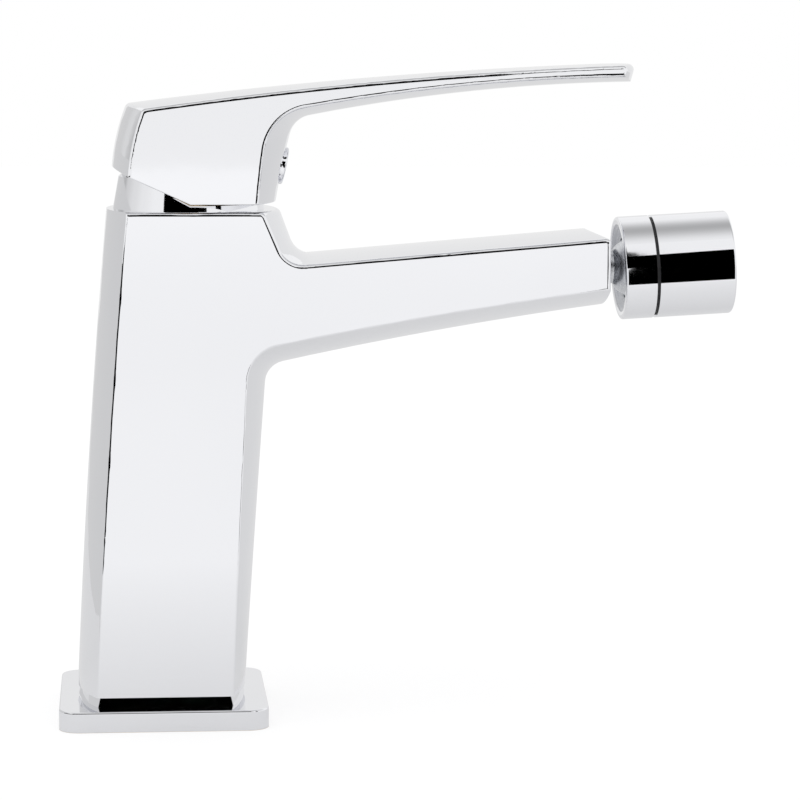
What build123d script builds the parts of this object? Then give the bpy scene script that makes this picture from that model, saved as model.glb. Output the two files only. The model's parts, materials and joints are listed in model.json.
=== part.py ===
from build123d import *
import math
import os

os.makedirs("parts", exist_ok=True)

# Single-lever bidet mixer with a swivelling ball-jointed nozzle, in millimetres.
# X points along the spout, Z is up, and the origin is the centre of the base plate's underside.

# Base plate
plate_side = 50.8
plate_thickness = 5.0
plate_corner_radius = 5.0
plate_edge_round = 0.5
plinth_height = 2.3
plinth_inset = 0.7
plinth_flare_angle = 13.0
gasket_width = 3.0
gasket_thickness = 1.6
gasket_margin = 2.0

# Body outline at the flat sides: reaches along X from the plate's centre, heights above the
# deck, and drops below the body's top
body_width = 40.0
foot_back = 16.1
foot_front = 16.9
body_top_height = 124.9
top_back = 8.4
top_front = 24.0
slope_foot_reach = 29.6
slope_drop = 13.0
spout_reach = 108.3
spout_end_drop = 6.3
spout_end_depth = 12.4
corner_reach = 20.6
corner_drop = 33.4
back_bow = 0.65
front_hollow = 0.1
under_hollow = 0.9
shoulder_round = 1.5
slope_round = 6.0
corner_round_edge = 9.0
corner_round_middle = 5.5
spout_end_round_edge = 1.0
spout_end_round_middle = 3.0
body_edge_round = 1.05

# Swell of the body's faces at the middle of its width
back_swell = 4.9
front_foot_swell = 3.5
front_swell = 5.1
under_swell = 5.1
slope_swell = 3.8
slope_top_swell_share = 1.28
slope_foot_swell_share = 0.95
spout_crown = 1.35
spout_end_crown = 0.85

# Underside of the body
spigot_radius = 17.0
spigot_length = 4.0
spigot_clearance = 0.2
recess_radius = 14.5
recess_height = 58.0
inlet_spread = 13.0
inlet_radius = 4.5
inlet_depth = 12.0
stud_spread = 17.0
stud_hole_radius = 3.4
stud_hole_depth = 12.0

# Cartridge bore and waterways
cartridge_centre = 6.8
cartridge_bore_gap = 0.3
nut_shoulder = 1.7
nut_bore_depth = 8.0
waterway_radius = 2.6
port_spread = 10.0
port_setback = 3.6
outlet_offset = 6.2
outlet_radius = 3.0
outlet_depth = 7.5
spout_way_radius = 4.2

# Cartridge
cartridge_radius = 14.0
fit_gap = 0.1
running_gap = 0.05
port_seal_radius = 3.9
port_seal_wall = 1.1
port_seal_height = 1.6
cartridge_base_height = 4.0
peg_radius = 1.5
peg_length = 1.8
peg_spread = 23.0
fixed_disc_radius = 11.8
fixed_disc_height = 3.5
moving_disc_radius = 8.4
moving_disc_height = 3.0
mixing_pocket_depth = 1.2
carrier_radius = 8.0
carrier_height = 5.5
housing_wall = 1.3
housing_height = 20.5
housing_lid = 2.5
yoke_flange_height = 3.0
yoke_neck_radius = 9.0
yoke_rise = 5.0
pivot_rise = 2.0
spindle_tilt = 12.0
spindle_width = 7.0
spindle_ball_radius = 3.0
ball_height_in_carrier = 3.8
ball_float = 0.5
spindle_stem_radius = 2.4
spindle_top_reach = 20.5
slot_gap = 0.35
pin_radius = 1.5
nut_seat_drop = 1.2
nut_flange_height = 2.4
nut_hex_height = 2.2
nut_hex_radius = 15.4
nut_opening_radius = 9.6

# Cover ring
ring_foot_radius = 18.5
ring_shoulder_radius = 17.1
ring_shoulder_height = 7.8
ring_chamfer = 0.7
ring_wall = 1.4
ring_opening_radius = 12.6
o_ring_radius = 0.45
o_ring_height = 0.8

# Lever outline at the flat sides: reaches along X from the plate's centre, and heights above
# the body's top
lever_block_width = 41.5
lever_tip_width = 33.9
lever_back_top = 4.4
lever_block_height = 24.6
lever_back_foot = 8.0
lever_back_foot_rise = 6.65
skirt_gap = 1.8
lever_front_foot = 22.8
blade_root_reach = 25.5
blade_root_depth = 4.0
blade_tip_reach = 112.7
blade_climb = 10.75
blade_tip_thickness = 2.9
blade_tip_rake = 1.2
blade_top_bow = 1.55
blade_under_hollow = 1.9
lever_back_bow = 0.6
lever_front_hollow = 0.3
blade_root_round_edge = 12.0
blade_root_round_middle = 6.0
blade_tip_round = 1.4
back_top_round = 1.6
lever_edge_round = 1.1
skirt_edge_round = 0.3

# Swell of the lever's faces at the middle of its width
lever_back_swell = 3.9
lever_front_swell = 5.2
lever_crown = 0.8
blade_tip_crown = 0.2
blade_tip_swell = 3.6
blade_under_swell = 1.4
blade_root_swell = 7.0

# Lever cavity, spindle boss and screw: distances up the spindle from its pivot, and out from it
cavity_ring_gap = 1.0
cavity_side_wall = 2.05
cavity_roof = 2.1
cavity_back_wall = 2.1
boss_radius = 7.0
boss_start = 10.1
boss_root_depth = 1.8
screw_level = 14.1
screw_radius = 2.5
screw_length = 7.0
screw_socket_radius = 1.4
screw_socket_depth = 3.0
screw_sleeve_radius = 3.6
plug_seat_reach = 19.8
plug_radius = 4.6
plug_lip = 1.4
plug_round = 0.5
plug_stem_radius = 3.1
plug_stem_length = 2.4
mark_radius = 3.2
mark_depth = 0.5
mark_gap = 0.25

# Swivel nozzle: distances along its own axis from the centre of its ball
nozzle_radius = 12.75
nozzle_length = 27.4
nozzle_tilt = 3.24
ball_stand_off = 10.2
ball_drop_from_top = 8.42
ball_setback = 5.35
ball_radius = 8.0
ball_gap = 0.1
neck_radius = 4.0
collar_radius = 5.8
collar_thickness = 1.5
stud_washer_thickness = 0.8
stud_radius = 4.9
stud_length = 10.0
stud_fit_gap = 0.06
nozzle_way_radius = 2.8
rear_ring_length = 7.7
rear_ring_lip_radius = 7.5
dish_radius = 11.2
dish_floor_radius = 8.7
dish_depth = 1.4
rear_ring_bore_start = 0.5
groove_width = 0.8
groove_ring_radius = 12.15
nozzle_edge_round = 0.5
nozzle_thread_radius = 11.0
nozzle_thread_start = 0.9
nozzle_bore_radius = 9.9
front_lip_length = 1.4
front_lip_radius = 8.2
seal_thickness = 1.2
seal_inner_angle = 40.0
seal_outer_angle = 64.0
cup_start = 3.0
cup_end = 9.0
cup_hole_radius = 5.2
aerator_gasket_height = 1.2
aerator_gasket_radius = 7.8
basket_wall = 1.2
basket_shelf = 1.0
basket_shelf_radius = 5.6
regulator_height = 3.0
regulator_radius = 7.0
regulator_holes = 6
regulator_hole_radius = 1.0
regulator_hole_circle = 4.4
spacer_wall = 0.9
screen_thickness = 1.0
screen_gap = 1.1
screen_pitch = 2.2
screen_hole_radius = 0.75
screen_rings = 3

overrun = 1.0

# Places that follow from the sizes above
foot_height = plate_thickness + plinth_height
slope_foot_height = body_top_height - slope_drop
spout_top_height = body_top_height - spout_end_drop
spout_under_height = spout_top_height - spout_end_depth
corner_height = body_top_height - corner_drop
nut_seat_height = body_top_height - nut_seat_drop
seat_height = nut_seat_height - housing_height - cartridge_base_height
cartridge_bore_radius = cartridge_radius + cartridge_bore_gap
nut_bore_radius = cartridge_bore_radius + nut_shoulder
pivot_height = nut_seat_height + pivot_rise
skirt_height = body_top_height + skirt_gap
lever_back_foot_height = skirt_height + lever_back_foot_rise
lever_back_top_height = body_top_height + lever_block_height
blade_tip_height = lever_back_top_height + blade_climb
blade_root_share = (blade_root_reach + lever_back_top) / (blade_tip_reach + lever_back_top)
blade_root_height = lever_back_top_height + blade_climb * blade_root_share - blade_root_depth
cavity_radius = ring_foot_radius + cavity_ring_gap
cavity_half_width = lever_block_width / 2 - cavity_side_wall
cavity_top_height = lever_back_top_height - cavity_roof
ball_reach = spout_reach + ball_stand_off
ball_height = spout_top_height - ball_drop_from_top


def share_between(start, end, share):
    return start + (end - start) * share


def swept_side(start, end, sweep):
    if sweep == 0:
        return Line(start, end)
    middle = (Vector(*start) + Vector(*end)) / 2
    along = (Vector(*end) - Vector(*start)).normalized()
    bow = Vector(-along.Y, along.X) * sweep
    top = middle + bow
    return ThreePointArc(start, (top.X, top.Y), end)


def outline_face(corners, sweeps, rounds):
    """A closed outline of straight or slightly bowed sides, with some corners rounded."""
    count = len(corners)
    sides = Curve() + [
        swept_side(corners[i], corners[(i + 1) % count], sweeps[i]) for i in range(count)
    ]
    face = make_face(sides)
    for corner, radius in zip(corners, rounds):
        if radius > 0:
            nearest = face.vertices().sort_by_distance((corner[0], corner[1], 0))[0]
            face = fillet(nearest, radius)
    return face


def upright_plane(y):
    return Plane(origin=(0, y, 0), x_dir=(1, 0, 0), z_dir=(0, -1, 0))


def disc(radius, height, bottom=0.0):
    return Pos(0, 0, bottom) * extrude(Circle(radius), height)


def tube(outer, inner, height, bottom=0.0):
    return Pos(0, 0, bottom) * extrude(Circle(outer) - Circle(inner), height)


def turned(points):
    """A solid turned about Z from an outline of (radius, height) corners."""
    outline = make_face(Plane.XZ * Polyline(*points, close=True))
    return revolve(outline, Axis.Z)


# Body casting

def body_corners(swell_share):
    """Corners of the body's outline, from the flat sides (0) to the middle of its width (1)."""
    back = back_swell * swell_share
    front = front_swell * swell_share
    under = under_swell * swell_share
    slope = slope_swell * swell_share
    crown = spout_crown * swell_share
    return [
        (-foot_back - back, foot_height),
        (foot_front + front_foot_swell * swell_share, foot_height),
        (corner_reach + front, corner_height - under),
        (spout_reach, spout_under_height - under),
        (spout_reach, spout_top_height + spout_end_crown * swell_share),
        (slope_foot_reach + slope * slope_foot_swell_share, slope_foot_height + crown),
        (top_front + slope * slope_top_swell_share, body_top_height),
        (-top_back - back, body_top_height),
    ]


def body_section(y, swell_share):
    corner_round = share_between(corner_round_edge, corner_round_middle, swell_share)
    end_round = share_between(spout_end_round_edge, spout_end_round_middle, swell_share)
    sweeps = [0, front_hollow, under_hollow, 0, 0, 0, 0, -back_bow]
    rounds = [0, 0, corner_round, 0, end_round, slope_round, shoulder_round, 0]
    return upright_plane(y) * outline_face(body_corners(swell_share), sweeps, rounds)


def body_shell():
    half = body_width / 2
    shell = loft([body_section(-half, 0), body_section(0, 1), body_section(half, 0)])
    sides = shell.faces().filter_by(Axis.Y).sort_by(Axis.Y)
    rims = [edge for side in (sides[0], sides[-1]) for edge in side.edges().sort_by(Axis.Z)[1:]]
    return fillet(rims, body_edge_round)


def drilled(start, end, radius, extra=0.0):
    """A straight drilling from start to end, run on past its end by a little."""
    run = Vector(*end) - Vector(*start)
    return Plane(origin=start, z_dir=run) * extrude(Circle(radius), run.length + extra)


def along_x(radius, start, end, height=0.0):
    """A round bar along X."""
    return Plane(origin=(start, 0, height), z_dir=(1, 0, 0)) * extrude(Circle(radius), end - start)


def port_places():
    return [(cartridge_centre - port_setback, side * port_spread / 2) for side in (-1, 1)]


def peg_places():
    return [(cartridge_centre, side * peg_spread / 2) for side in (-1, 1)]


def body_casting():
    body = body_shell()
    spigot_bottom = foot_height - spigot_length
    body += disc(spigot_radius, spigot_length + plinth_height, spigot_bottom)
    body -= disc(recess_radius, recess_height - spigot_bottom + overrun, spigot_bottom - overrun)
    bore_height = body_top_height - seat_height + overrun
    body -= Pos(cartridge_centre, 0) * disc(cartridge_bore_radius, bore_height, seat_height)
    nut_floor = body_top_height - nut_bore_depth
    body -= Pos(cartridge_centre, 0) * disc(nut_bore_radius, nut_bore_depth + overrun, nut_floor)
    for side, (x, y) in zip((-1, 1), port_places()):
        inlet_y = side * inlet_spread / 2
        body -= Pos(0, inlet_y) * disc(inlet_radius, inlet_depth, recess_height)
        inlet_top = (0, inlet_y, recess_height + inlet_depth - overrun)
        body -= drilled(inlet_top, (x, y, seat_height), waterway_radius, overrun)
        stud_x = side * stud_spread / 2
        body -= Pos(stud_x, 0) * disc(stud_hole_radius, stud_hole_depth, recess_height)
    for x, y in peg_places():
        body -= Pos(x, y) * disc(peg_radius + fit_gap, peg_length + fit_gap,
                                 seat_height - peg_length - fit_gap)
    outlet_x = cartridge_centre + outlet_offset
    outlet_low = (outlet_x, 0, seat_height - outlet_depth)
    body -= drilled(outlet_low, (outlet_x, 0, seat_height), outlet_radius, overrun)
    body -= drilled(outlet_low, (spout_reach, 0, ball_height), spout_way_radius, overrun)
    body -= along_x(stud_radius + stud_fit_gap, spout_reach - stud_length, spout_reach + overrun,
                    ball_height)
    return body


# Base plate

def foot_outline(inset):
    """Outline of the body's foot seen from above, drawn in by an inset."""
    half = body_width / 2 - inset
    back, front = -foot_back + inset, foot_front - inset
    edges = Curve() + [
        Line((back, -half), (front, -half)),
        ThreePointArc((front, -half), (front + front_foot_swell, 0), (front, half)),
        Line((front, half), (back, half)),
        ThreePointArc((back, half), (back - back_swell, 0), (back, -half)),
    ]
    return make_face(edges)


def base_plate():
    plate = extrude(RectangleRounded(plate_side, plate_side, plate_corner_radius), plate_thickness)
    plate = fillet(plate.edges().group_by(Axis.Z)[-1], plate_edge_round)
    flare = plinth_height * math.tan(math.radians(plinth_flare_angle))
    top = Pos(0, 0, foot_height) * foot_outline(plinth_inset)
    bottom = Pos(0, 0, plate_thickness) * foot_outline(plinth_inset - flare)
    plate += loft([bottom, top])
    plate -= disc(spigot_radius + spigot_clearance, foot_height + 2 * overrun, -overrun)
    groove_outer = plate_side / 2 - gasket_margin
    plate -= tube(groove_outer, groove_outer - gasket_width, gasket_thickness + overrun, -overrun)
    return plate


def base_gasket():
    groove_outer = plate_side / 2 - gasket_margin
    return tube(groove_outer, groove_outer - gasket_width, gasket_thickness)


# Cartridge, drawn about its own axis with its seat at height zero

def at_cartridge(solid):
    return Pos(cartridge_centre, 0, seat_height) * solid


def port_pattern():
    ports = [(-port_setback, side * port_spread / 2) for side in (-1, 1)]
    return ports + [(outlet_offset, 0)]


def port_seals():
    rings = [Pos(x, y) * tube(port_seal_radius, port_seal_radius - port_seal_wall,
                              port_seal_height) for x, y in port_pattern()]
    return Compound(children=[at_cartridge(ring) for ring in rings])


def cartridge_base():
    base = disc(cartridge_radius, cartridge_base_height)
    for x, y in port_pattern():
        base -= Pos(x, y) * disc(port_seal_radius, port_seal_height)
        base -= Pos(x, y) * disc(port_seal_radius - port_seal_wall,
                                 cartridge_base_height)
    for side in (-1, 1):
        base += Pos(0, side * peg_spread / 2) * disc(peg_radius, peg_length, -peg_length)
    return at_cartridge(base)


def fixed_ceramic_disc():
    plate = disc(fixed_disc_radius, fixed_disc_height, cartridge_base_height)
    port = disc(port_seal_radius - port_seal_wall, fixed_disc_height + 2 * overrun,
                cartridge_base_height - overrun)
    for x, y in port_pattern():
        plate -= Pos(x, y) * port
    return at_cartridge(plate)


def disc_offset():
    """How far the moving disc stands off the axis with the lever down."""
    return ball_drop() * math.tan(math.radians(spindle_tilt))


def moving_disc_bottom():
    return cartridge_base_height + fixed_disc_height


def ball_level():
    return moving_disc_bottom() + moving_disc_height + ball_height_in_carrier


def ball_drop():
    return pivot_height - seat_height - ball_level()


def moving_ceramic_disc():
    bottom = moving_disc_bottom()
    plate = disc(moving_disc_radius, moving_disc_height, bottom)
    plate -= disc(moving_disc_radius - port_seal_radius, mixing_pocket_depth, bottom)
    return at_cartridge(Pos(-disc_offset(), 0) * plate)


def disc_carrier():
    bottom = moving_disc_bottom() + moving_disc_height
    carrier = disc(carrier_radius, carrier_height, bottom)
    socket_floor = ball_level() - spindle_ball_radius - ball_float
    carrier -= disc(spindle_ball_radius + fit_gap, carrier_height, socket_floor)
    return at_cartridge(Pos(-disc_offset(), 0) * carrier)


def cartridge_housing():
    inner = cartridge_radius - housing_wall
    shell = tube(cartridge_radius, inner, housing_height, cartridge_base_height)
    lid_bottom = cartridge_base_height + housing_height - housing_lid
    shell += tube(inner + fit_gap, yoke_neck_radius + running_gap, housing_lid, lid_bottom)
    return at_cartridge(shell)


def yoke_bottom():
    lid_bottom = cartridge_base_height + housing_height - housing_lid
    return lid_bottom - yoke_flange_height - running_gap


def rotating_yoke():
    bottom = yoke_bottom()
    top = pivot_height - seat_height + yoke_rise
    yoke = disc(cartridge_radius - housing_wall - running_gap, yoke_flange_height, bottom)
    yoke += disc(yoke_neck_radius, top - bottom, bottom)
    width = spindle_width + 2 * slot_gap
    level = pivot_height - seat_height
    slot = extrude(yoke_slot_outline(bottom - level, top - level), width / 2, both=True)
    yoke -= Pos(0, 0, level) * slot
    yoke -= Pos(0, 0, level) * pin_bar(pin_radius, 2 * (yoke_neck_radius + overrun))
    return at_cartridge(yoke)


def yoke_slot_outline(bottom, top):
    """Side view of the gap in which the spindle tips, as wide as its swing at each height."""
    swing = math.tan(math.radians(spindle_tilt))
    half = spindle_width / 2 / math.cos(math.radians(spindle_tilt)) + 2 * slot_gap
    low, high = bottom - overrun, top + overrun
    return make_face(upright_plane(0) * Polyline(
        (-half - abs(low) * swing, low),
        (half + abs(low) * swing, low),
        (half, 0),
        (half + high * swing, high),
        (-half - high * swing, high),
        (-half, 0),
        close=True,
    ))


def pin_bar(radius, length):
    """A round bar along Y, centred on the pivot."""
    return Rot(90, 0, 0) * Pos(0, 0, -length / 2) * disc(radius, length)


def at_pivot(solid):
    """Places what turns with the lever: it leans forward by the spindle's tilt at rest."""
    return Pos(cartridge_centre, 0, pivot_height) * Rot(0, spindle_tilt, 0) * solid


def spindle_ball_distance():
    return ball_drop() / math.cos(math.radians(spindle_tilt))


def lever_spindle():
    drop = spindle_ball_distance()
    shank = Pos(0, 0, spindle_top_reach / 2) * Box(spindle_width, spindle_width, spindle_top_reach)
    hub = Box(spindle_width, spindle_width, spindle_width)
    stem = disc(spindle_stem_radius, drop, -drop)
    spindle = shank + hub + stem + Pos(0, 0, -drop) * Sphere(spindle_ball_radius)
    spindle -= pin_bar(pin_radius + running_gap, spindle_width + 2 * overrun)
    return at_pivot(spindle)


def spindle_pin():
    length = 2 * (yoke_neck_radius - slot_gap)
    return Pos(cartridge_centre, 0, pivot_height) * pin_bar(pin_radius, length)


def retaining_nut():
    bottom = body_top_height - nut_bore_depth
    outer = nut_bore_radius - running_gap
    nut = tube(outer, cartridge_radius + fit_gap, nut_seat_height - bottom, bottom)
    nut += tube(outer, nut_opening_radius, nut_flange_height, nut_seat_height)
    hexagon = RegularPolygon(nut_hex_radius, 6) - Circle(nut_opening_radius)
    nut += Pos(0, 0, nut_seat_height + nut_flange_height) * extrude(hexagon, nut_hex_height)
    return Pos(cartridge_centre, 0) * nut


# Cover ring over the nut

def ring_outer_radius(height):
    return share_between(ring_foot_radius, ring_shoulder_radius, height / ring_shoulder_height)


def cover_ring():
    top = ring_shoulder_height + ring_chamfer
    inner_top = top - ring_wall
    ring = turned([
        (ring_foot_radius - ring_wall, 0),
        (ring_foot_radius, 0),
        (ring_shoulder_radius, ring_shoulder_height),
        (ring_shoulder_radius - ring_chamfer, top),
        (ring_opening_radius, top),
        (ring_opening_radius, inner_top),
        (ring_outer_radius(inner_top) - ring_wall, inner_top),
    ])
    return Pos(cartridge_centre, 0, body_top_height) * ring


def cover_ring_o_ring():
    centre = nut_bore_radius + o_ring_radius
    ring = Torus(centre, o_ring_radius)
    return Pos(cartridge_centre, 0, body_top_height + o_ring_height) * ring


# Lever handle

def lever_taper():
    return math.atan((lever_block_width - lever_tip_width) / 2 / (blade_tip_reach - cartridge_centre))


def lever_corners(swell_share):
    """Corners of the lever's outline about the cartridge's axis, from flat side (0) to middle (1)."""
    back = lever_back_swell * swell_share
    front = lever_front_swell * swell_share
    crown = lever_crown * swell_share
    under = blade_under_swell * swell_share
    skirt_slope = (lever_back_foot_height - skirt_height) / (lever_back_foot + cartridge_centre)
    tip = blade_tip_reach + blade_tip_swell * swell_share
    tip_under = blade_tip_height - blade_tip_thickness - under
    corners = [
        (-lever_back_foot - back, lever_back_foot_height + back * skirt_slope),
        (cartridge_centre, skirt_height),
        (lever_front_foot + front, skirt_height),
        (blade_root_reach + blade_root_swell * swell_share, blade_root_height - under),
        (tip - blade_tip_rake, tip_under),
        (tip, blade_tip_height + blade_tip_crown * swell_share),
        (-lever_back_top - back, lever_back_top_height + crown),
    ]
    return [(x - cartridge_centre, z) for x, z in corners]


def lever_section(side, swell_share):
    taper = lever_taper() * side
    plane = Plane(
        origin=(cartridge_centre, side * lever_block_width / 2, 0),
        x_dir=(math.cos(taper), -math.sin(taper), 0),
        z_dir=(-math.sin(taper), -math.cos(taper), 0),
    )
    root_round = share_between(blade_root_round_edge, blade_root_round_middle, swell_share)
    sweeps = [0, 0, lever_front_hollow, blade_under_hollow, 0, -blade_top_bow, -lever_back_bow]
    rounds = [0, 0, 0, root_round, 0, blade_tip_round, back_top_round]
    return plane * outline_face(lever_corners(swell_share), sweeps, rounds)


def lever_rims(shell):
    """Edges of the lever's two flat sides, split into the skirt's and the rest."""
    sides = shell.faces().filter_by(GeomType.PLANE).sort_by(SortBy.AREA)[-2:]
    skirt, rest = [], []
    for edge in sides[0].edges() + sides[1].edges():
        middle = edge.center()
        low = middle.Z < lever_back_foot_height and middle.X < lever_front_foot
        (skirt if low and edge.length > lever_edge_round else rest).append(edge)
    return skirt, rest


def lever_shell():
    shell = loft([lever_section(-1, 0), lever_section(0, 1), lever_section(1, 0)])
    shell = fillet(lever_rims(shell)[1], lever_edge_round)
    return fillet(lever_rims(shell)[0], skirt_edge_round)


def lever_cavity():
    low = skirt_height - overrun
    height = cavity_top_height - low
    cavity = Pos(cartridge_centre, 0) * disc(cavity_radius, height, low)
    lean = (lever_back_foot - lever_back_top) / (lever_back_top_height - lever_back_foot_height)
    wall_at_foot = -lever_back_foot - lever_back_swell + cavity_back_wall
    back_low = wall_at_foot - (lever_back_foot_height - low) * lean
    back_high = back_low + height * lean
    front = cartridge_centre + cavity_radius
    keep = extrude(make_face(upright_plane(0) * Polyline(
        (back_low, low),
        (front, low),
        (front, cavity_top_height),
        (back_high, cavity_top_height),
        close=True,
    )), cavity_half_width, both=True)
    return cavity & keep


def lever_boss():
    """The post that takes the spindle, with the sleeve for its screw."""
    roof_level = (cavity_top_height - pivot_height) / math.cos(math.radians(spindle_tilt))
    boss = disc(boss_radius, roof_level + boss_root_depth - boss_start, boss_start)
    sleeve_end = spindle_width / 2 + screw_length + fit_gap
    return boss + Pos(0, 0, screw_level) * along_x(screw_sleeve_radius, 0, sleeve_end)


def lever_handle():
    lever = lever_shell() - lever_cavity() + at_pivot(lever_boss())
    socket_width = spindle_width + 2 * running_gap
    socket_depth = spindle_top_reach + fit_gap
    socket = Pos(0, 0, socket_depth / 2) * Box(socket_width, socket_width, socket_depth)
    screw_hole = along_x(screw_radius + running_gap, 0, plug_seat_reach, screw_level)
    plug_hole = along_x(plug_stem_radius + running_gap, boss_radius + spindle_width,
                        plug_seat_reach + overrun, screw_level)
    plug_seat = along_x(plug_radius + running_gap, plug_seat_reach, plug_seat_reach + plug_lip,
                        screw_level)
    return lever - at_pivot(socket) - at_pivot(screw_hole) - at_pivot(plug_hole) - at_pivot(plug_seat)


def lever_screw():
    start = spindle_width / 2
    end = start + screw_length
    screw = along_x(screw_radius, start, end, screw_level)
    key = Plane(origin=(end - screw_socket_depth, 0, screw_level), z_dir=(1, 0, 0)) * \
        extrude(RegularPolygon(screw_socket_radius, 6), screw_socket_depth)
    return at_pivot(screw - key)


def mark_solid(side):
    """Half a round mark on the plug's face, hot on one side and cold on the other."""
    face_reach = plug_seat_reach + plug_lip
    round_mark = along_x(mark_radius, face_reach - mark_depth, face_reach, screw_level)
    width = 2 * mark_radius
    half = Pos(face_reach, side * (mark_gap + width) / 2, screw_level) * Box(width, width, width)
    return round_mark & half


def index_plug():
    seat = plug_seat_reach
    head = along_x(plug_radius, seat, seat + plug_lip, screw_level)
    head = fillet(head.edges().sort_by(Axis.X)[-1], plug_round)
    stem = along_x(plug_stem_radius, seat - plug_stem_length, seat, screw_level)
    plug = head + stem
    for side in (-1, 1):
        plug -= mark_solid(side)
    return at_pivot(plug)


def plug_mark(side):
    return at_pivot(mark_solid(side))


# Swivel nozzle, drawn along X with the ball's centre at zero

def at_ball(solid):
    return Pos(ball_reach, 0, ball_height) * solid


def at_nozzle(solid):
    return at_ball(Rot(0, -nozzle_tilt, 0) * solid)


def turned_on_x(points):
    """A solid turned about X from an outline of (distance, radius) corners."""
    return revolve(make_face(Polyline(*points, close=True)), Axis.X)


def pipe(outer, inner, start, end):
    return turned_on_x([(start, inner), (end, inner), (end, outer), (start, outer)])


def ball_stud():
    seat = spout_reach - ball_reach
    collar_start = seat + stud_washer_thickness
    stud = Sphere(ball_radius)
    stud += along_x(neck_radius, collar_start, 0)
    stud += along_x(collar_radius, collar_start, collar_start + collar_thickness)
    stud += along_x(stud_radius, seat - stud_length, collar_start)
    stud -= along_x(nozzle_way_radius, seat - stud_length - overrun, ball_radius + overrun)
    return at_ball(stud)


def stud_washer():
    seat = spout_reach - ball_reach
    return at_ball(pipe(collar_radius, stud_radius + stud_fit_gap, seat,
                        seat + stud_washer_thickness))


def on_sphere(radius, angle):
    """A point at a distance from the ball's centre, at an angle from the nozzle's axis."""
    return (radius * math.cos(math.radians(angle)), radius * math.sin(math.radians(angle)))


def arc_on_sphere(radius, start_angle, end_angle):
    middle_angle = (start_angle + end_angle) / 2
    return ThreePointArc(on_sphere(radius, start_angle), on_sphere(radius, middle_angle),
                         on_sphere(radius, end_angle))


def ball_seal():
    inner = ball_radius + ball_gap
    outer = inner + seal_thickness
    edges = Curve() + [
        arc_on_sphere(inner, seal_inner_angle, seal_outer_angle),
        Line(on_sphere(inner, seal_outer_angle), on_sphere(outer, seal_outer_angle)),
        arc_on_sphere(outer, seal_outer_angle, seal_inner_angle),
        Line(on_sphere(outer, seal_inner_angle), on_sphere(inner, seal_inner_angle)),
    ]
    return at_nozzle(revolve(make_face(edges), Axis.X))


def seal_cup():
    """A round pusher behind the seal, hollowed to the seal's sphere."""
    hollow = ball_radius + 2 * ball_gap + seal_thickness
    outer = nozzle_bore_radius - running_gap
    mouth_angle = math.degrees(math.acos(cup_start / hollow))
    hole_angle = math.degrees(math.asin(cup_hole_radius / hollow))
    edges = Curve() + [
        arc_on_sphere(hollow, hole_angle, mouth_angle),
        Line(on_sphere(hollow, mouth_angle), (cup_start, outer)),
        Line((cup_start, outer), (cup_end, outer)),
        Line((cup_end, outer), (cup_end, cup_hole_radius)),
        Line((cup_end, cup_hole_radius), on_sphere(hollow, hole_angle)),
    ]
    return at_nozzle(revolve(make_face(edges), Axis.X))


def nozzle_rear_ring():
    rear = -ball_setback
    front = rear + rear_ring_length
    ring = turned_on_x([
        (rear, dish_radius),
        (rear, nozzle_radius),
        (front, nozzle_radius),
        (front, nozzle_thread_radius + running_gap),
        (rear_ring_bore_start, nozzle_thread_radius + running_gap),
        (rear_ring_bore_start, rear_ring_lip_radius),
        (rear + dish_depth, rear_ring_lip_radius),
        (rear + dish_depth, dish_floor_radius),
    ])
    rim = ring.edges().filter_by(GeomType.CIRCLE).sort_by(SortBy.RADIUS)[-2:].sort_by(Axis.X)[0]
    ring = fillet(rim, nozzle_edge_round)
    return at_nozzle(ring - Sphere(ball_radius + ball_gap))


def front_housing_start():
    return rear_ring_length - ball_setback + groove_width


def nozzle_front():
    return nozzle_length - ball_setback


def nozzle_front_housing():
    start, front = front_housing_start(), nozzle_front()
    lip_start = front - front_lip_length
    housing = turned_on_x([
        (nozzle_thread_start, nozzle_bore_radius),
        (nozzle_thread_start, nozzle_thread_radius),
        (start, nozzle_thread_radius),
        (start, nozzle_radius),
        (front, nozzle_radius),
        (front, front_lip_radius),
        (lip_start, front_lip_radius),
        (lip_start, nozzle_bore_radius),
    ])
    rim = housing.edges().filter_by(GeomType.CIRCLE).sort_by(SortBy.RADIUS)[-2:].sort_by(Axis.X)[-1]
    return at_nozzle(fillet(rim, nozzle_edge_round))


def nozzle_groove_ring():
    start = rear_ring_length - ball_setback
    return at_nozzle(pipe(groove_ring_radius, nozzle_thread_radius + running_gap, start,
                          start + groove_width))


# Aerator inside the front housing

def basket_start():
    return cup_end + aerator_gasket_height


def shelf_start():
    return basket_start() + regulator_height


def screen_bore():
    return nozzle_bore_radius - fit_gap - basket_wall


def aerator_gasket():
    return at_nozzle(pipe(nozzle_bore_radius - fit_gap, aerator_gasket_radius, cup_end,
                          basket_start()))


def aerator_basket():
    end = nozzle_front() - front_lip_length
    shelf_end = shelf_start() + basket_shelf
    basket = turned_on_x([
        (basket_start(), regulator_radius + running_gap),
        (shelf_start(), regulator_radius + running_gap),
        (shelf_start(), basket_shelf_radius),
        (shelf_end, basket_shelf_radius),
        (shelf_end, screen_bore()),
        (end, screen_bore()),
        (end, nozzle_bore_radius - fit_gap),
        (basket_start(), nozzle_bore_radius - fit_gap),
    ])
    return at_nozzle(basket)


def flow_regulator():
    regulator = along_x(regulator_radius, basket_start(), shelf_start())
    for index in range(regulator_holes):
        turn = Rot(360 / regulator_holes * index, 0, 0)
        regulator -= turn * Pos(0, regulator_hole_circle, 0) * along_x(
            regulator_hole_radius, basket_start(), shelf_start())
    return at_nozzle(regulator)


def screen_places():
    """Start of each screen: the inner one first, then the one at the mouth."""
    mouth = nozzle_front() - front_lip_length - screen_thickness
    return [mouth - screen_gap - screen_thickness, mouth]


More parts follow.
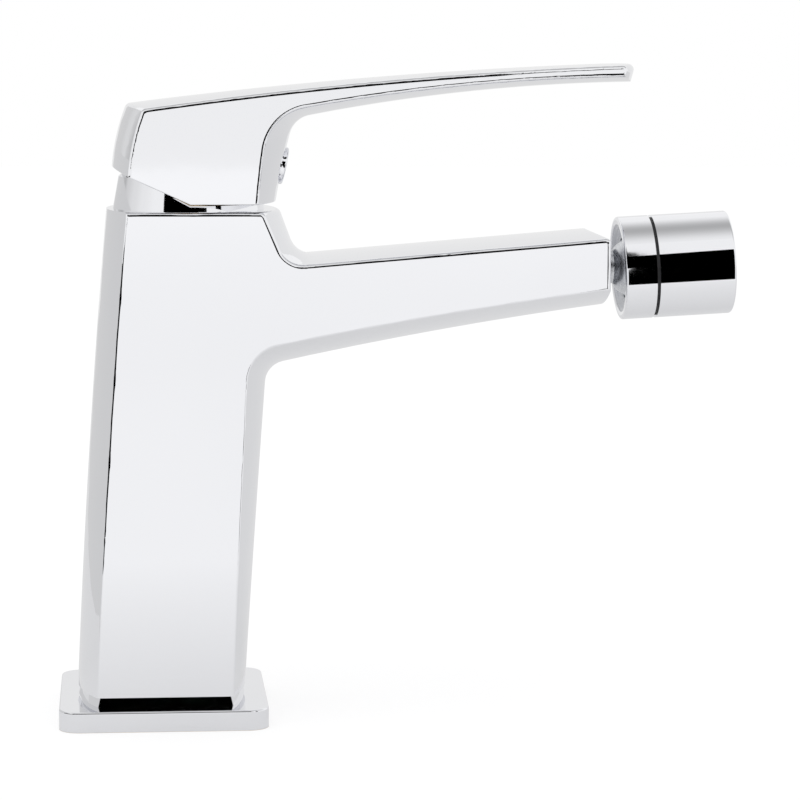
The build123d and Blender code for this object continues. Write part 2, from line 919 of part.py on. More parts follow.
def aerator_screen(start):
    plate = Circle(screen_bore() - running_gap)
    row_height = screen_pitch * math.sqrt(3) / 2
    spots = []
    for row in range(-screen_rings, screen_rings + 1):
        count = 2 * screen_rings + 1 - abs(row)
        spots += [(screen_pitch * (place - (count - 1) / 2), row_height * row)
                  for place in range(count)]
    plate -= Sketch() + [Pos(x, y) * Circle(screen_hole_radius) for x, y in spots]
    screen = Plane(origin=(start, 0, 0), z_dir=(1, 0, 0)) * extrude(plate, screen_thickness)
    return at_nozzle(screen)


def screen_spacers():
    inner_screen, mouth_screen = screen_places()
    outer = screen_bore() - running_gap
    rings = [
        pipe(outer, outer - spacer_wall, shelf_start() + basket_shelf, inner_screen),
        pipe(outer, outer - spacer_wall, inner_screen + screen_thickness, mouth_screen),
    ]
    return Compound(children=[at_nozzle(ring) for ring in rings])


pieces = {
    "base_plate": base_plate(),
    "base_gasket": base_gasket(),
    "body_casting": body_casting(),
    "cartridge_port_seals": port_seals(),
    "cartridge_base": cartridge_base(),
    "fixed_ceramic_disc": fixed_ceramic_disc(),
    "moving_ceramic_disc": moving_ceramic_disc(),
    "disc_carrier": disc_carrier(),
    "cartridge_housing": cartridge_housing(),
    "rotating_yoke": rotating_yoke(),
    "lever_spindle": lever_spindle(),
    "spindle_pin": spindle_pin(),
    "retaining_nut": retaining_nut(),
    "cover_ring": cover_ring(),
    "cover_ring_o_ring": cover_ring_o_ring(),
    "lever_handle": lever_handle(),
    "lever_screw": lever_screw(),
    "index_plug": index_plug(),
    "hot_mark": plug_mark(-1),
    "cold_mark": plug_mark(1),
    "ball_stud": ball_stud(),
    "stud_washer": stud_washer(),
    "ball_seal": ball_seal(),
    "seal_cup": seal_cup(),
    "nozzle_rear_ring": nozzle_rear_ring(),
    "nozzle_groove_ring": nozzle_groove_ring(),
    "nozzle_front_housing": nozzle_front_housing(),
    "aerator_gasket": aerator_gasket(),
    "flow_regulator": flow_regulator(),
    "aerator_basket": aerator_basket(),
    "inner_screen": aerator_screen(screen_places()[0]),
    "mouth_screen": aerator_screen(screen_places()[1]),
    "screen_spacers": screen_spacers(),
}

for name, piece in pieces.items():
    export_step(piece, f"parts/{name}.step")
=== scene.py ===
import json
import math

import bpy
from mathutils import Matrix, Vector

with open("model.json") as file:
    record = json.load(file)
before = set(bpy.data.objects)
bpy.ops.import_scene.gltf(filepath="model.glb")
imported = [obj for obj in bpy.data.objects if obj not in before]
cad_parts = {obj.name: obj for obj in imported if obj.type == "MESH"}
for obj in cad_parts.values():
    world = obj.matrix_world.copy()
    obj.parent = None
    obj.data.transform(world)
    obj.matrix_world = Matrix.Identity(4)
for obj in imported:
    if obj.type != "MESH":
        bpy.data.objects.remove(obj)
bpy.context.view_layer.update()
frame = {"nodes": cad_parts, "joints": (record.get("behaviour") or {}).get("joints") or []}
nodes = frame["nodes"]
joints = {joint["name"]: joint for joint in frame["joints"]}


def addNode(tree, kind, place, **settings):
    node = tree.nodes.new(kind)
    node.location = place
    for key, value in settings.items():
        setattr(node, key, value)
    return node


def feed(tree, value, socket):
    # the value is another node's output or a plain number
    if isinstance(value, bpy.types.NodeSocket):
        tree.links.new(value, socket)
    else:
        socket.default_value = value


def addMath(tree, place, operation, *values):
    node = addNode(tree, "ShaderNodeMath", place, operation=operation)
    for value, socket in zip(values, node.inputs):
        feed(tree, value, socket)
    return node.outputs[0]


def addSplit(tree, place, vector):
    split = addNode(tree, "ShaderNodeSeparateXYZ", place)
    tree.links.new(vector, split.inputs["Vector"])
    return split.outputs


def addObjectVector(tree, place):
    return addNode(tree, "ShaderNodeTexCoord", place).outputs["Object"]


def addNoise(tree, place, vector, scale, detail):
    noise = addNode(tree, "ShaderNodeTexNoise", place)
    noise.inputs["Detail"].default_value = detail
    tree.links.new(vector, noise.inputs["Vector"])
    tree.links.new(scale, noise.inputs["Scale"])
    return noise.outputs["Fac"]


def addRange(tree, place, value, span, low, high):
    # the ends of the span become low and high, each of them a plain number or a node's output
    spread = addNode(tree, "ShaderNodeMapRange", place)
    tree.links.new(value, spread.inputs["Value"])
    spread.inputs["From Min"].default_value, spread.inputs["From Max"].default_value = span
    feed(tree, low, spread.inputs["To Min"])
    feed(tree, high, spread.inputs["To Max"])
    return spread.outputs["Result"]


def addColourMix(tree, place, factor, first, second):
    mix = addNode(tree, "ShaderNodeMix", place, data_type="RGBA")
    for label, output in (("Factor", factor), ("A", first), ("B", second)):
        tree.links.new(output, mix.inputs[label])
    return mix.outputs["Result"]


def addRadius(tree, split):
    # distance from the vector's Z axis
    across = addMath(tree, (-520, 120), "MULTIPLY", split["X"], split["X"])
    along = addMath(tree, (-520, -20), "MULTIPLY", split["Y"], split["Y"])
    return addMath(tree, (-200, 60), "SQRT", addMath(tree, (-360, 60), "ADD", across, along))


def addGroup(name, inputs, outputs):
    group = bpy.data.node_groups.new(name, "ShaderNodeTree")
    for label, kind, value in inputs:
        socket = group.interface.new_socket(label, in_out="INPUT", socket_type=kind)
        if value is not None:
            socket.default_value = value
    for label, kind in outputs:
        group.interface.new_socket(label, in_out="OUTPUT", socket_type=kind)
    start = group.nodes.new("NodeGroupInput")
    end = group.nodes.new("NodeGroupOutput")
    start.location, end.location = (-900, 0), (900, 0)
    return group, start.outputs, end.inputs


pattern = {
    "noiseSpan": (0.3, 0.7),  # nearly all of a noise lies between these
    "hazeDetail": 3.0,
    "rippleDetail": 1.0,
    "lineDetail": 2.0,
    "patchDetail": 4.0,
    "patchShare": 0.9,  # how far a patch goes towards the second colour
    "grainDetail": 2.0,
    "flowDetail": 5.0,
    "flowShare": 0.8,
    "speckSpan": (0.62, 0.72),  # only the highest grains show as specks
    "speckShare": 0.35,
}


def openFinishGroup(name, scales):
    # every finish takes two colours, two roughness levels and its own scales
    inputs = [("Vector", "NodeSocketVector", None),
              ("Colour", "NodeSocketColor", (0.8, 0.8, 0.8, 1)),
              ("Second Colour", "NodeSocketColor", (0.7, 0.7, 0.7, 1)),
              ("Low Roughness", "NodeSocketFloat", 0.3),
              ("High Roughness", "NodeSocketFloat", 0.5)]
    inputs += [(label, "NodeSocketFloat", value) for label, value in scales]
    outputs = [("Colour", "NodeSocketColor"), ("Roughness", "NodeSocketFloat"),
               ("Height", "NodeSocketFloat")]
    return addGroup(name, inputs, outputs)


def closeFinishGroup(tree, start, end, factor, gloss, height):
    # the factor mixes the colours, and gloss runs between the two roughness levels
    colour = addColourMix(tree, (480, 300), factor, start["Colour"], start["Second Colour"])
    roughness = addRange(tree, (480, 0), gloss, pattern["noiseSpan"],
                         start["Low Roughness"], start["High Roughness"])
    tree.links.new(colour, end["Colour"])
    tree.links.new(roughness, end["Roughness"])
    tree.links.new(height, end["Height"])
    return tree


def buildPlateGroup():
    # buffed plating: a faint haze that comes and goes, over a ripple too fine to see alone
    tree, start, end = openFinishGroup("buffedPlate", [("Haze Scale", 18.0), ("Ripple Scale", 160.0)])
    haze = addNoise(tree, (-600, 150), start["Vector"], start["Haze Scale"], pattern["hazeDetail"])
    ripple = addNoise(tree, (-600, -250), start["Vector"], start["Ripple Scale"], pattern["rippleDetail"])
    return closeFinishGroup(tree, start, end, haze, haze, ripple)


def buildTurnedGroup():
    # lathe lines round the Z axis of the vector it is given, with tarnish in broad patches
    tree, start, end = openFinishGroup("latheLines", [("Line Scale", 900.0), ("Patch Scale", 90.0)])
    split = addSplit(tree, (-700, 0), start["Vector"])
    lathe = addNode(tree, "ShaderNodeCombineXYZ", (-40, 0))
    tree.links.new(addRadius(tree, split), lathe.inputs["X"])
    tree.links.new(split["Z"], lathe.inputs["Z"])
    lines = addNoise(tree, (120, 0), lathe.outputs["Vector"], start["Line Scale"], pattern["lineDetail"])
    patches = addNoise(tree, (120, 300), start["Vector"], start["Patch Scale"], pattern["patchDetail"])
    tarnish = addRange(tree, (300, 450), patches, pattern["noiseSpan"], 0.0, pattern["patchShare"])
    return closeFinishGroup(tree, start, end, tarnish, lines, lines)


def buildGrainGroup():
    # moulded or cast skin: fine grain in the height, slow flow marks in the colour
    tree, start, end = openFinishGroup("mouldedGrain", [("Grain Scale", 1500.0), ("Flow Scale", 70.0)])
    grain = addNoise(tree, (-600, -200), start["Vector"], start["Grain Scale"], pattern["grainDetail"])
    flow = addNoise(tree, (-600, 200), start["Vector"], start["Flow Scale"], pattern["flowDetail"])
    specks = addRange(tree, (-350, 0), grain, pattern["speckSpan"], 0.0, pattern["speckShare"])
    marks = addRange(tree, (-350, 200), flow, pattern["noiseSpan"], 0.0, pattern["flowShare"])
    factor = addMath(tree, (-150, 200), "MAXIMUM", marks, specks)
    return closeFinishGroup(tree, start, end, factor, grain, grain)


def buildBoreGroup():
    # 1 inside a round bore about the vector's Z axis, in front of a plane and between two heights
    inputs = [("Vector", "NodeSocketVector", None), ("Radius", "NodeSocketFloat", 0.01),
              ("Back", "NodeSocketFloat", -1.0), ("Low", "NodeSocketFloat", -1.0),
              ("High", "NodeSocketFloat", 1.0)]
    tree, start, end = addGroup("boreMask", inputs, [("Mask", "NodeSocketFloat")])
    split = addSplit(tree, (-700, 0), start["Vector"])
    near = addMath(tree, (0, 100), "LESS_THAN", addRadius(tree, split), start["Radius"])
    front = addMath(tree, (0, -50), "GREATER_THAN", split["X"], start["Back"])
    above = addMath(tree, (0, -200), "GREATER_THAN", split["Z"], start["Low"])
    below = addMath(tree, (0, -350), "LESS_THAN", split["Z"], start["High"])
    sides = addMath(tree, (200, 50), "MULTIPLY", near, front)
    levels = addMath(tree, (200, -250), "MULTIPLY", above, below)
    tree.links.new(addMath(tree, (400, 0), "MULTIPLY", sides, levels), end["Mask"])
    return tree


finishGroups = {
    "plate": buildPlateGroup(),
    "turned": buildTurnedGroup(),
    "grain": buildGrainGroup(),
    "bore": buildBoreGroup(),
}


def placeFinish(tree, place, values, vector):
    finish = addNode(tree, "ShaderNodeGroup", place, node_tree=finishGroups[values["kind"]])
    tree.links.new(vector, finish.inputs["Vector"])
    low, high = values["roughness"]
    finish.inputs["Colour"].default_value = (*values["colour"], 1)
    finish.inputs["Second Colour"].default_value = (*values["secondColour"], 1)
    finish.inputs["Low Roughness"].default_value = low
    finish.inputs["High Roughness"].default_value = high
    for label, value in values["scales"].items():
        finish.inputs[label].default_value = value
    return finish.outputs


def placeVector(tree, place, facts):
    # Object coordinates, moved where a centre is given so that the piece's own axis is the Z axis
    coordinates = addObjectVector(tree, place)
    if "centre" not in facts:
        return coordinates
    mapping = addNode(tree, "ShaderNodeMapping", (place[0] + 200, place[1]), vector_type="TEXTURE")
    mapping.inputs["Location"].default_value = facts["centre"]
    mapping.inputs["Rotation"].default_value = [math.radians(angle) for angle in facts.get("turn", (0, 0, 0))]
    tree.links.new(coordinates, mapping.inputs["Vector"])
    return mapping.outputs["Vector"]


def showBareInside(tree, values, plated):
    # the bare finish shows in the bores, and the plated one everywhere else
    bare = placeFinish(tree, (-700, -400), values["bare"], placeVector(tree, (-1300, -400), values["bare"]))
    mask = 0.0
    for index, bore in enumerate(values["inside"]):
        down = -800 - 250 * index
        cut = addNode(tree, "ShaderNodeGroup", (-700, down), node_tree=finishGroups["bore"])
        tree.links.new(placeVector(tree, (-1300, down), bore), cut.inputs["Vector"])
        for label, value in bore["limits"].items():
            cut.inputs[label].default_value = value
        mask = addMath(tree, (-450, down), "MAXIMUM", cut.outputs["Mask"], mask)
    colour = addColourMix(tree, (-200, 100), mask, plated["Colour"], bare["Colour"])
    roughness = addRange(tree, (-200, -100), mask, (0.0, 1.0), plated["Roughness"], bare["Roughness"])
    height = addRange(tree, (-200, -300), mask, (0.0, 1.0), plated["Height"], bare["Height"])
    return colour, roughness, height


# the shader's sockets that hold one value all over, with the value where a finish names none
plainSockets = {
    "metal": ("Metallic", 0.0),
    "coat": ("Coat Weight", 0.0),
    "coatRoughness": ("Coat Roughness", 0.03),
    "milkiness": ("Subsurface Weight", 0.0),
    "milkDepth": ("Subsurface Scale", 0.001),
}


def makeFinish(name, values):
    material = bpy.data.materials.new(name)
    material.use_nodes = True
    tree = material.node_tree
    surface = tree.nodes["Principled BSDF"]
    surface.location, tree.nodes["Material Output"].location = (300, 0), (600, 0)
    finish = placeFinish(tree, (-700, 0), values, placeVector(tree, (-1300, 0), values))
    colour, roughness, height = (finish[label] for label in ("Colour", "Roughness", "Height"))
    if "inside" in values:
        colour, roughness, height = showBareInside(tree, values, finish)
    bump = addNode(tree, "ShaderNodeBump", (50, -300))
    bump.inputs["Strength"].default_value = values["bump"]
    bump.inputs["Distance"].default_value = values["depth"]
    tree.links.new(height, bump.inputs["Height"])
    for key, (label, usual) in plainSockets.items():
        surface.inputs[label].default_value = values.get(key, usual)
    tree.links.new(colour, surface.inputs["Base Color"])
    tree.links.new(roughness, surface.inputs["Roughness"])
    tree.links.new(bump.outputs["Normal"], surface.inputs["Normal"])
    return material


leverPivot = tuple(joints["lever_lift"]["pos_m"])
cartridgeAxis = (leverPivot[0], 0, 0)
nozzleBall = tuple(joints["nozzle_spin"]["pos_m"])
spinAxis = joints["nozzle_spin"]["axis"]
nozzleTurn = (0, math.degrees(math.atan2(spinAxis[0], spinAxis[2])), 0)  # the nozzle's own axis becomes Z
spindleTurn = (0, 12, 0)  # the spindle leans forward
pinTurn = (90, 0, 0)

bareCasting = {
    "kind": "grain",
    "colour": (0.62, 0.47, 0.25),
    "secondColour": (0.50, 0.36, 0.19),
    "roughness": (0.42, 0.68),
    "scales": {"Grain Scale": 900.0, "Flow Scale": 60.0},
}

# the floor of the nozzle's rear dish is turned and plated, but not buffed
turnedDish = {
    "kind": "turned",
    "centre": nozzleBall,
    "turn": nozzleTurn,
    "colour": (0.66, 0.67, 0.69),
    "secondColour": (0.56, 0.57, 0.60),
    "roughness": (0.26, 0.44),
    "scales": {"Line Scale": 2400.0, "Patch Scale": 150.0},
}

plateChrome = {
    "kind": "plate",
    "colour": (0.865, 0.870, 0.890),
    "secondColour": (0.825, 0.830, 0.855),
    "roughness": (0.025, 0.05),
    "scales": {"Haze Scale": 18.0, "Ripple Scale": 160.0},
    "metal": 1.0,
    "bump": 0.02,
    "depth": 0.0002,
    "bare": bareCasting,
}

# where the plating stops: bores and hollows that no polishing wheel reaches
bodyBores = [
    {"limits": {"Radius": 0.0146, "High": 0.0712}},
    {"centre": cartridgeAxis, "limits": {"Radius": 0.0161, "Low": 0.0967, "High": 0.12485}},
]
plateBores = [
    {"limits": {"Radius": 0.05, "High": 0.00005}},
    {"limits": {"Radius": 0.0173, "High": 0.0072}},
]
leverBores = [
    {"centre": cartridgeAxis, "limits": {"Radius": 0.01955, "Back": -0.0160, "Low": 0.1250, "High": 0.1402}},
    {"centre": cartridgeAxis, "limits": {"Radius": 0.01955, "Back": -0.0135, "Low": 0.1402, "High": 0.1475}},
]
ringBores = [
    {"centre": cartridgeAxis, "limits": {"Radius": 0.0158, "Low": 0.1240, "High": 0.1322}},
]
dishBores = [
    {"centre": nozzleBall, "turn": nozzleTurn, "limits": {"Radius": 0.0109, "Low": -0.0053, "High": 0.02}},
]

finishValues = {
    "bodyChrome": {**plateChrome, "inside": bodyBores},
    "footChrome": {
        **plateChrome, "inside": plateBores,
        "scales": {"Haze Scale": 24.0, "Ripple Scale": 190.0}},
    "leverChrome": {
        **plateChrome, "inside": leverBores,
        "scales": {"Haze Scale": 14.0, "Ripple Scale": 150.0}},
    "ringChrome": {
        **plateChrome, "inside": ringBores,
        "scales": {"Haze Scale": 26.0, "Ripple Scale": 210.0}},
    "nozzleChrome": {
        **plateChrome,
        "scales": {"Haze Scale": 30.0, "Ripple Scale": 240.0}},
    "rearRingChrome": {
        **plateChrome, "inside": dishBores, "bare": turnedDish,
        "scales": {"Haze Scale": 30.0, "Ripple Scale": 240.0}},
    "studChrome": {
        **turnedDish, "metal": 1.0, "bump": 0.2, "depth": 0.00003, "roughness": (0.20, 0.34)},
    "plugChrome": {
        **plateChrome,
        "scales": {"Haze Scale": 60.0, "Ripple Scale": 300.0}},
    "turnedBrass": {
        "kind": "turned", "centre": cartridgeAxis,
        "metal": 1.0, "bump": 0.25, "depth": 0.00004,
        "colour": (0.74, 0.55, 0.27), "secondColour": (0.60, 0.41, 0.19), "roughness": (0.16, 0.38),
        "scales": {"Line Scale": 2600.0, "Patch Scale": 110.0}},
    "spindleSteel": {
        "kind": "turned", "centre": leverPivot, "turn": spindleTurn,
        "metal": 1.0, "bump": 0.2, "depth": 0.00003,
        "colour": (0.62, 0.63, 0.65), "secondColour": (0.52, 0.53, 0.55), "roughness": (0.18, 0.34),
        "scales": {"Line Scale": 3200.0, "Patch Scale": 160.0}},
    "pinSteel": {
        "kind": "turned", "centre": leverPivot, "turn": pinTurn,
        "metal": 1.0, "bump": 0.15, "depth": 0.00002,
        "colour": (0.64, 0.65, 0.67), "secondColour": (0.56, 0.57, 0.59), "roughness": (0.12, 0.26),
        "scales": {"Line Scale": 4200.0, "Patch Scale": 200.0}},
    "screenSteel": {
        "kind": "turned", "centre": nozzleBall, "turn": nozzleTurn,
        "metal": 1.0, "bump": 0.2, "depth": 0.00003,
        "colour": (0.58, 0.59, 0.60), "secondColour": (0.47, 0.48, 0.49), "roughness": (0.24, 0.42),
        "scales": {"Line Scale": 5200.0, "Patch Scale": 260.0}},
    "softRubber": {
        "kind": "grain", "bump": 0.3, "depth": 0.00003,
        "colour": (0.020, 0.020, 0.022), "secondColour": (0.044, 0.044, 0.047), "roughness": (0.50, 0.74),
        "scales": {"Grain Scale": 2600.0, "Flow Scale": 160.0}},
    "sealPlastic": {
        "kind": "grain", "bump": 0.12, "depth": 0.00002, "milkiness": 0.15,
        "colour": (0.84, 0.84, 0.82), "secondColour": (0.77, 0.77, 0.74), "roughness": (0.26, 0.42),
        "scales": {"Grain Scale": 2200.0, "Flow Scale": 120.0}},
    "cartridgePlastic": {
        "kind": "grain", "bump": 0.2, "depth": 0.00003, "milkiness": 0.05,
        "colour": (0.80, 0.81, 0.78), "secondColour": (0.73, 0.74, 0.70), "roughness": (0.34, 0.52),
        "scales": {"Grain Scale": 1700.0, "Flow Scale": 80.0}},
    "yokePlastic": {
        "kind": "grain", "bump": 0.25, "depth": 0.00003,
        "colour": (0.062, 0.066, 0.075), "secondColour": (0.095, 0.100, 0.110), "roughness": (0.36, 0.58),
        "scales": {"Grain Scale": 1900.0, "Flow Scale": 90.0}},
    "lappedCeramic": {
        "kind": "grain", "bump": 0.05, "depth": 0.00001,
        "milkiness": 0.10, "coat": 0.4, "coatRoughness": 0.06,
        "colour": (0.84, 0.83, 0.79), "secondColour": (0.79, 0.775, 0.73), "roughness": (0.10, 0.22),
        "scales": {"Grain Scale": 3800.0, "Flow Scale": 200.0}},
    "basketPlastic": {
        "kind": "grain", "bump": 0.15, "depth": 0.00002, "milkiness": 0.08,
        "colour": (0.82, 0.83, 0.84), "secondColour": (0.75, 0.76, 0.78), "roughness": (0.28, 0.44),
        "scales": {"Grain Scale": 2400.0, "Flow Scale": 140.0}},
    "regulatorPlastic": {
        "kind": "grain", "bump": 0.2, "depth": 0.00002,
        "colour": (0.10, 0.165, 0.145), "secondColour": (0.14, 0.215, 0.190), "roughness": (0.34, 0.52),
        "scales": {"Grain Scale": 2200.0, "Flow Scale": 130.0}},
    "hotEnamel": {
        "kind": "grain", "bump": 0.1, "depth": 0.00001, "coat": 0.8,
        "colour": (0.56, 0.018, 0.020), "secondColour": (0.46, 0.012, 0.016), "roughness": (0.18, 0.32),
        "scales": {"Grain Scale": 4200.0, "Flow Scale": 300.0}},
    "coldEnamel": {
        "kind": "grain", "bump": 0.1, "depth": 0.00001, "coat": 0.8,
        "colour": (0.022, 0.075, 0.46), "secondColour": (0.016, 0.055, 0.37), "roughness": (0.18, 0.32),
        "scales": {"Grain Scale": 4200.0, "Flow Scale": 300.0}},
}

nodeFinish = {
    "base_plate": "footChrome", "body_casting": "bodyChrome", "cover_ring": "ringChrome",
    "lever_handle": "leverChrome", "index_plug": "plugChrome", "ball_stud": "studChrome",
    "nozzle_rear_ring": "rearRingChrome", "nozzle_front_housing": "nozzleChrome",
    "base_gasket": "softRubber", "cartridge_port_seals": "softRubber", "cover_ring_o_ring": "softRubber",
    "stud_washer": "softRubber", "nozzle_groove_ring": "softRubber", "aerator_gasket": "softRubber",
    "retaining_nut": "turnedBrass", "lever_spindle": "spindleSteel", "lever_screw": "spindleSteel",
    "spindle_pin": "pinSteel", "inner_screen": "screenSteel", "mouth_screen": "screenSteel",
    "cartridge_base": "cartridgePlastic", "cartridge_housing": "cartridgePlastic",
    "rotating_yoke": "yokePlastic", "disc_carrier": "yokePlastic",
    "fixed_ceramic_disc": "lappedCeramic", "moving_ceramic_disc": "lappedCeramic",
    "ball_seal": "sealPlastic", "seal_cup": "sealPlastic",
    "aerator_basket": "basketPlastic", "screen_spacers": "basketPlastic",
    "flow_regulator": "regulatorPlastic", "hot_mark": "hotEnamel", "cold_mark": "coldEnamel",
}


def dressNodes():
    made = {name: makeFinish(name, values) for name, values in finishValues.items()}
    for name, piece in nodes.items():
        piece.data.materials.clear()
        piece.data.materials.append(made[nodeFinish[name]])
    print("finishes made:", len(made))


dressNodes()

smoothing = {
    "weldDistance": 0.000002,
    "sharpAngle": 32,
    "flatWeight": 80,  # how much a large flat face outweighs the small ones of a rounded edge
}


def smoothNodes():
    # curved faces are shaded as curves, and flat ones keep their own normals up to a rounded edge
    bpy.ops.object.select_all(action="DESELECT")
    for piece in nodes.values():
        piece.select_set(True)
        bpy.context.view_layer.objects.active = piece
    bpy.ops.object.shade_smooth()
    for piece in nodes.values():
        weld = piece.modifiers.new("weld", "WELD")
        weld.merge_threshold = smoothing["weldDistance"]
        split = piece.modifiers.new("sharpEdges", "EDGE_SPLIT")
        split.split_angle = math.radians(smoothing["sharpAngle"])
        split.use_edge_sharp = False
        level = piece.modifiers.new("flatFaces", "WEIGHTED_NORMAL")
        level.mode = "FACE_AREA_WITH_ANGLE"
        level.weight = smoothing["flatWeight"]
    bpy.ops.object.select_all(action="DESELECT")
    print("faces smoothed")


smoothNodes()

studio = {
    "worldForMetal": 1.0,  # what shiny surfaces see where no card stands
    "worldForLight": 0.85,
    "floorHalfSize": 3.0,
    "floorColour": (0.30, 0.30, 0.303),
    "floorRoughness": 0.9,
    "floorGlowSeen": 0.75,
    "floorGlowBehind": 0.48,  # as mirrored, behind the object
    "floorGlowFront": 0.73,
    "floorGlowFar": 0.83,
    "floorFrontStarts": (0.05, -0.25),  # Y where the mirrored floor turns from one level to the next
    "floorFarStarts": (-0.8, -2.4),
    "lampPower": 2.0,
    "lampSize": 0.9,
    "lampPlace": (-0.35, -0.25, 1.1),
    "lampAim": (0.05, 0.0, 0.08),
}


def addLightPathMask(tree, place, cameraLevel, mirrorLevel):
    # one level for camera rays, another for reflected and transmitted ones
    x, y = place
    path = addNode(tree, "ShaderNodeLightPath", place).outputs
    both = addMath(tree, (x + 200, y - 150), "MAXIMUM", path["Is Glossy Ray"], path["Is Transmission Ray"])
    mirrored = addMath(tree, (x + 400, y - 150), "MULTIPLY", both, mirrorLevel)
    return addMath(tree, (x + 600, y), "MULTIPLY_ADD", path["Is Camera Ray"], cameraLevel, mirrored)


def buildFloor():
    bpy.ops.object.select_all(action="DESELECT")
    bpy.ops.mesh.primitive_plane_add(size=2 * studio["floorHalfSize"])
    floor = bpy.context.object
    floor.name = "studioFloor"
    paint = bpy.data.materials.new("paleFloor")
    paint.use_nodes = True
    tree = paint.node_tree
    surface = tree.nodes["Principled BSDF"]
    surface.inputs["Base Color"].default_value = (*studio["floorColour"], 1)
    surface.inputs["Roughness"].default_value = studio["floorRoughness"]
    surface.inputs["Specular IOR Level"].default_value = 0.0
    surface.inputs["Emission Color"].default_value = (1, 1, 1, 1)
    depth = addSplit(tree, (-2000, -500), addObjectVector(tree, (-2200, -500)))["Y"]
    near = addRange(tree, (-1750, -450), depth, studio["floorFrontStarts"],
                    studio["floorGlowBehind"], studio["floorGlowFront"])
    far = addRange(tree, (-1750, -700), depth, studio["floorFarStarts"],
                   0.0, studio["floorGlowFar"] - studio["floorGlowFront"])
    mirrored = addMath(tree, (-1500, -500), "ADD", near, far)
    level = addLightPathMask(tree, (-1100, -300), studio["floorGlowSeen"], mirrored)
    tree.links.new(level, surface.inputs["Emission Strength"])
    floor.data.materials.append(paint)


def buildWorld():
    # white to the camera, one level to shiny surfaces and a lower one as light
    world = bpy.data.worlds.new("studioWorld")
    bpy.context.scene.world = world
    world.use_nodes = True
    tree = world.node_tree
    back = tree.nodes["Background"]
    back.inputs["Color"].default_value = (1, 1, 1, 1)
    light = studio["worldForLight"]
    level = addLightPathMask(tree, (-1100, 0), 1.0 - light, studio["worldForMetal"] - light)
    tree.links.new(addMath(tree, (-250, 0), "ADD", level, light), back.inputs["Strength"])


def buildLamp():
    lamp = bpy.data.lights.new("topSoftbox", "AREA")
    lamp.energy = studio["lampPower"]
    lamp.size = studio["lampSize"]
    lampObject = bpy.data.objects.new("topSoftbox", lamp)
    bpy.context.scene.collection.objects.link(lampObject)
    lampObject.location = studio["lampPlace"]
    lampObject.visible_glossy = False  # metal sees the cards and the world only
    aim = Vector(studio["lampAim"]) - lampObject.location
    lampObject.rotation_euler = aim.to_track_quat("-Z", "Y").to_euler()


# what the metal mirrors: centre, width and height, the way the card faces, its tilt in degrees,
# and its levels as (share of the way across or up, level)
cards = {
    "nozzleFlagLow": {  # the nozzle's black band
        "at": (0.164, -0.162, 0.0745), "size": (0.052, 0.141), "facing": (0, 1, 0), "levels": [(0, 0.0)]},
    "nozzleFlagHigh": {  # the band's upper edge, kept clear of the lever's tip
        "at": (0.1350, -0.05, 0.1275), "size": (0.032, 0.0200), "facing": (0, 1, 0), "tilt": 10,
        "levels": [(0, 0.0)]},
    "leverFlag": {  # the dark line along the lever's blade
        "at": (0.0820, -0.10, 0.1285), "size": (0.088, 0.031), "facing": (0, 1, 0), "levels": [(0, 0.0)]},
    "frontFlag": {  # the black lines on rounded upper edges, fading towards the ceiling
        "at": (-0.2875, -1.0, 0.82), "size": (1.125, 1.30), "facing": (0, 1, 0), "axis": "Y",
        "levels": [(0, 0.0), (0.52, 0.0), (0.70, 0.35), (1, 0.9)]},
    "frontFlagRight": {
        "at": (0.3875, -1.0, 0.485), "size": (0.225, 0.27), "facing": (0, 1, 0), "levels": [(0, 0.0)]},
    "leftFlag": {  # the black line down the body's back edge
        "at": (-0.20, -0.175, 0.065), "size": (0.35, 0.10), "facing": (1, 0, 0), "levels": [(0, 0.0)]},
    "backLeftCard": {  # the grey of the body's back strip
        "at": (-0.15, 0.30, 0.07), "size": (0.60, 0.16), "facing": (1, 0, 0), "levels": [(0, 0.68)]},
    "ringCard": {  # the soft greys round the cover ring
        "at": (-0.15, 0.24, 0.20), "size": (0.72, 0.10), "facing": (1, 0, 0),
        "levels": [(0, 1.0), (0.10, 0.93), (0.17, 0.84), (0.25, 0.72), (0.30, 0.52),
                   (0.35, 0.56), (0.43, 0.76), (0.56, 0.68)]},
    "ceilingCard": {
        "at": (0.15, 0.05, 0.90), "size": (2.4, 1.1), "facing": (0, 0, -1), "axis": "Y",
        "levels": [(0, 0.95), (0.5, 0.48), (1, 0.95)]},
    "backCard": {
        "at": (0.0, 1.20, 0.30), "size": (3.0, 0.60), "facing": (0, -1, 0), "levels": [(0, 0.86)]},
}


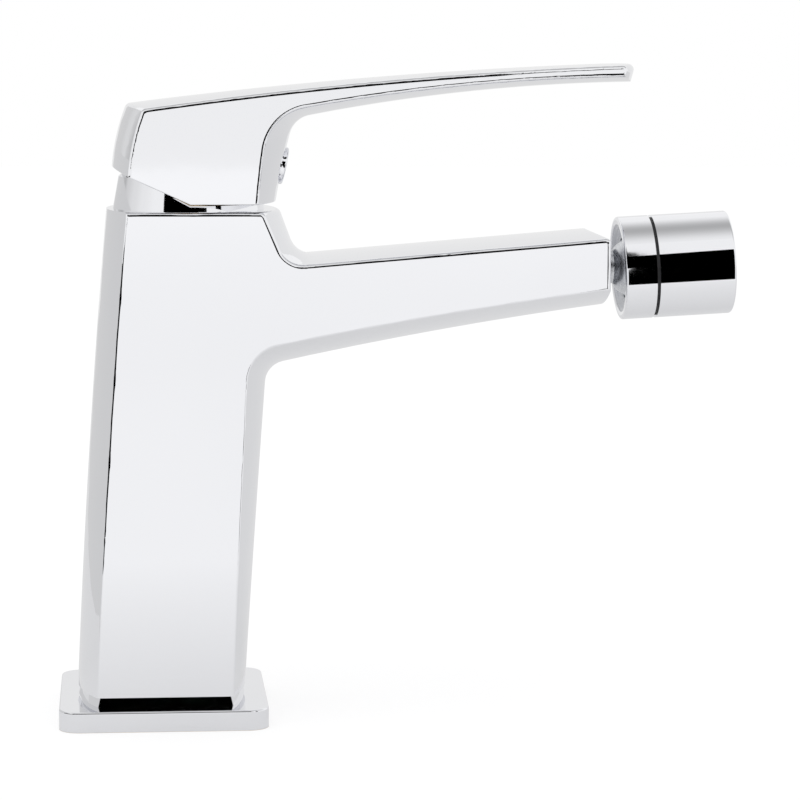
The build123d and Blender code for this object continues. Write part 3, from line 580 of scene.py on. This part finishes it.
def paintCard(name, levels, axis):
    paint = bpy.data.materials.new(name + "Paint")
    paint.use_nodes = True
    tree = paint.node_tree
    tree.nodes.clear()
    glow = addNode(tree, "ShaderNodeEmission", (0, 0))
    out = addNode(tree, "ShaderNodeOutputMaterial", (250, 0))
    tree.links.new(glow.outputs["Emission"], out.inputs["Surface"])
    if len(levels) == 1:
        level = levels[0][1]
        glow.inputs["Color"].default_value = (level, level, level, 1)
        return paint
    split = addSplit(tree, (-900, 0), addObjectVector(tree, (-1100, 0)))
    share = addMath(tree, (-700, 0), "ADD", split[axis], 0.5)  # a card is one unit across before its scale
    ramp = addNode(tree, "ShaderNodeValToRGB", (-450, 0))
    ramp.color_ramp.interpolation = "EASE"
    tree.links.new(share, ramp.inputs["Fac"])
    while len(ramp.color_ramp.elements) < len(levels):
        ramp.color_ramp.elements.new(0.5)
    for element, (position, level) in zip(ramp.color_ramp.elements, levels):
        element.position = position
        element.color = (level, level, level, 1)
    tree.links.new(ramp.outputs["Color"], glow.inputs["Color"])
    return paint


def addCard(name, facts):
    bpy.ops.object.select_all(action="DESELECT")
    bpy.ops.mesh.primitive_plane_add(size=1)
    card = bpy.context.object
    card.name = name
    card.scale = (*facts["size"], 1)
    card.location = facts["at"]
    facing = Vector(facts["facing"])
    tilt = Matrix.Rotation(math.radians(-facts.get("tilt", 0)), 3, facing)
    card.rotation_euler = (tilt @ facing.to_track_quat("Z", "Y").to_matrix()).to_euler()
    card.data.materials.append(paintCard(name, facts["levels"], facts.get("axis", "X")))
    card.visible_camera = False
    card.visible_diffuse = False
    card.visible_shadow = False


def buildStudio():
    buildFloor()
    buildWorld()
    buildLamp()
    for name, facts in cards.items():
        addCard(name, facts)
    print("studio built:", len(cards), "cards")


buildStudio()

photoCamera = {
    "place": (-0.01005, -0.74925, 0.16866),
    "yaw": 5.26,  # degrees to the right of straight ahead
    "pitch": 6.93,  # degrees below level
    "roll": 0.29,
    "lens": 137.5,
    "seesFrom": 0.01,
    "seesTo": 30.0,
}


def placeCamera():
    yaw, pitch = math.radians(photoCamera["yaw"]), math.radians(photoCamera["pitch"])
    ahead = Vector((math.sin(yaw) * math.cos(pitch), math.cos(yaw) * math.cos(pitch), -math.sin(pitch)))
    lens = bpy.data.cameras.new("photoCamera")
    lens.lens = photoCamera["lens"]
    lens.clip_start, lens.clip_end = photoCamera["seesFrom"], photoCamera["seesTo"]
    camera = bpy.data.objects.new("photoCamera", lens)
    bpy.context.scene.collection.objects.link(camera)
    turn = ahead.to_track_quat("-Z", "Y")
    roll = Matrix.Rotation(-math.radians(photoCamera["roll"]), 3, ahead)
    camera.rotation_euler = (roll @ turn.to_matrix()).to_euler()
    camera.location = photoCamera["place"]
    bpy.context.scene.camera = camera
    bpy.context.scene.view_settings.view_transform = "Standard"
    print("camera placed")


placeCamera()
